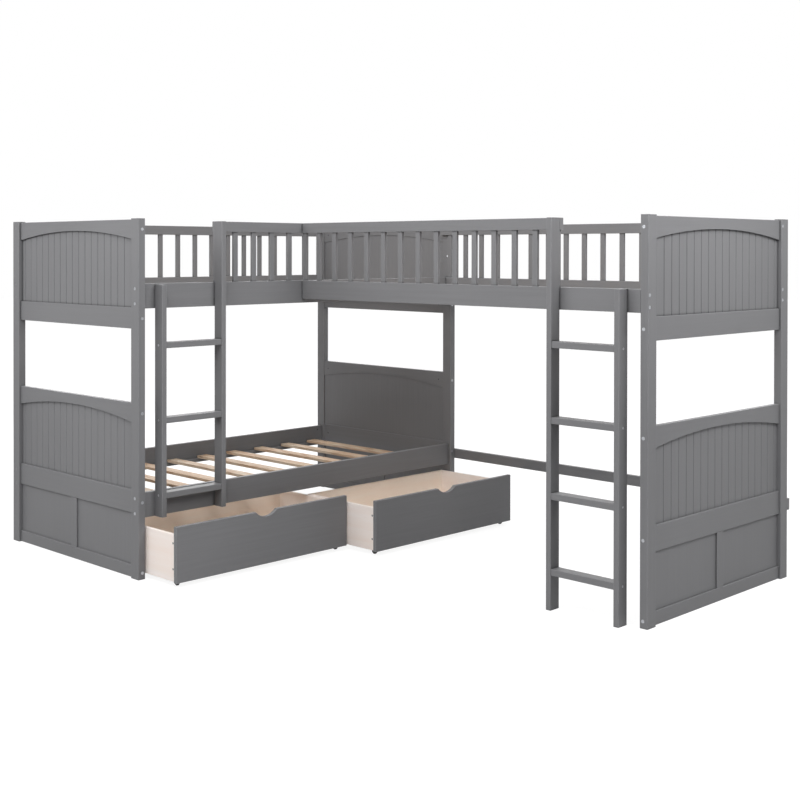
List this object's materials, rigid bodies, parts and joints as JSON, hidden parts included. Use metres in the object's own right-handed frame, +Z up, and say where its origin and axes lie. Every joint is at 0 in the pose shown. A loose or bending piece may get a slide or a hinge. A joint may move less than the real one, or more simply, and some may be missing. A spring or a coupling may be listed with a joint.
{
  "type": "l-shaped bunk bed",
  "caption": "L-shaped bunk bed of painted wood: a bunk with a loft bed at a right angle to it, fixed ladders, slatted guards, arched end panels and rolling underbed drawers.",
  "frame": {"origin": "on the floor, under the middle of the bed's overall box", "axes": "+X along the loft bed towards its end frame, +Y along the bunk from its near end to its far end, +Z up"},
  "size_m": [3.048, 2.055, 1.565],
  "materials": {
    "paint": "satin grey paint over wood",
    "pine": "bare sanded pine",
    "birch": "pale clear-coated wood",
    "steel": "zinc-plated",
    "black_plastic": "moulded plastic"
  },
  "bodies": {
    "bed_frame": {"near_front_post": "paint", "near_back_post": "paint", "near_arched_rails": "paint", "near_cross_rails": "paint", "near_grooved_boards": "paint", "near_flat_panels": "paint", "far_front_post": "paint", "far_back_post": "paint", "far_arched_rails": "paint", "far_cross_rails": "paint", "far_grooved_boards": "paint", "far_flat_panels": "paint", "loft_front_post": "paint", "loft_back_post": "paint", "loft_arched_rails": "paint", "loft_cross_rails": "paint", "loft_grooved_boards": "paint", "loft_flat_panels": "paint", "end_muntins": "paint", "lower_front_side_rail": "paint", "lower_back_side_rail": "paint", "bunk_front_deck_rail": "paint", "bunk_back_deck_rail": "paint", "loft_front_deck_rail": "paint", "loft_back_deck_rail": "paint", "bunk_front_guard_rail": "paint", "bunk_back_guard_rail": "paint", "loft_front_guard_rail": "paint", "loft_back_guard_rail": "paint", "bunk_front_guard_slats": "paint", "bunk_back_guard_slats": "paint", "loft_front_guard_slats": "paint", "loft_back_guard_slats": "paint", "slat_cleats": "paint", "lower_bed_slats": "pine", "upper_bunk_slats": "pine", "loft_bed_slats": "pine", "low_back_brace": "paint", "bunk_ladder_short_stile": "paint", "bunk_ladder_tall_stile": "paint", "bunk_ladder_rungs": "paint", "loft_ladder_short_stile": "paint", "loft_ladder_tall_stile": "paint", "loft_ladder_rungs": "paint", "bed_bolts": "steel", "barrel_nuts": "steel"},
    "drawer_1": {"drawer_1_front": "paint", "drawer_1_sides": "birch", "drawer_1_back": "birch", "drawer_1_bottom": "birch", "drawer_1_caster_housings": "black_plastic"},
    "drawer_1_front_wheels": {"drawer_1_front_wheels": "black_plastic"},
    "drawer_1_rear_wheels": {"drawer_1_rear_wheels": "black_plastic"},
    "drawer_2": {"drawer_2_front": "paint", "drawer_2_sides": "birch", "drawer_2_back": "birch", "drawer_2_bottom": "birch", "drawer_2_caster_housings": "black_plastic"},
    "drawer_2_front_wheels": {"drawer_2_front_wheels": "black_plastic"},
    "drawer_2_rear_wheels": {"drawer_2_rear_wheels": "black_plastic"}
  },
  "joints": [
    {"name": "drawer_1_slide", "type": "slide", "parent": "bed_frame", "child": "drawer_1", "axis": [1, 0, 0], "range_m": [-0.228, 0.222]},
    {"name": "drawer_1_front_wheels_roll", "type": "hinge", "parent": "drawer_1", "child": "drawer_1_front_wheels", "pos_m": [-0.252, -0.5012, 0.015], "axis": [0, 1, 0], "continuous": true},
    {"name": "drawer_1_rear_wheels_roll", "type": "hinge", "parent": "drawer_1", "child": "drawer_1_rear_wheels", "pos_m": [-0.647, -0.5012, 0.015], "axis": [0, 1, 0], "continuous": true},
    {"name": "drawer_2_slide", "type": "slide", "parent": "bed_frame", "child": "drawer_2", "axis": [1, 0, 0], "range_m": [-0.425, 0.025]},
    {"name": "drawer_2_front_wheels_roll", "type": "hinge", "parent": "drawer_2", "child": "drawer_2_front_wheels", "pos_m": [-0.055, 0.4813, 0.015], "axis": [0, 1, 0], "continuous": true},
    {"name": "drawer_2_rear_wheels_roll", "type": "hinge", "parent": "drawer_2", "child": "drawer_2_rear_wheels", "pos_m": [-0.45, 0.4813, 0.015], "axis": [0, 1, 0], "continuous": true}
  ],
  "couplings": [
    {"joint": "drawer_1_front_wheels_roll", "follows": "drawer_1_slide", "rad_per_m": 66.667},
    {"joint": "drawer_1_rear_wheels_roll", "follows": "drawer_1_slide", "rad_per_m": 66.667},
    {"joint": "drawer_2_front_wheels_roll", "follows": "drawer_2_slide", "rad_per_m": 66.667},
    {"joint": "drawer_2_rear_wheels_roll", "follows": "drawer_2_slide", "rad_per_m": 66.667}
  ]
}
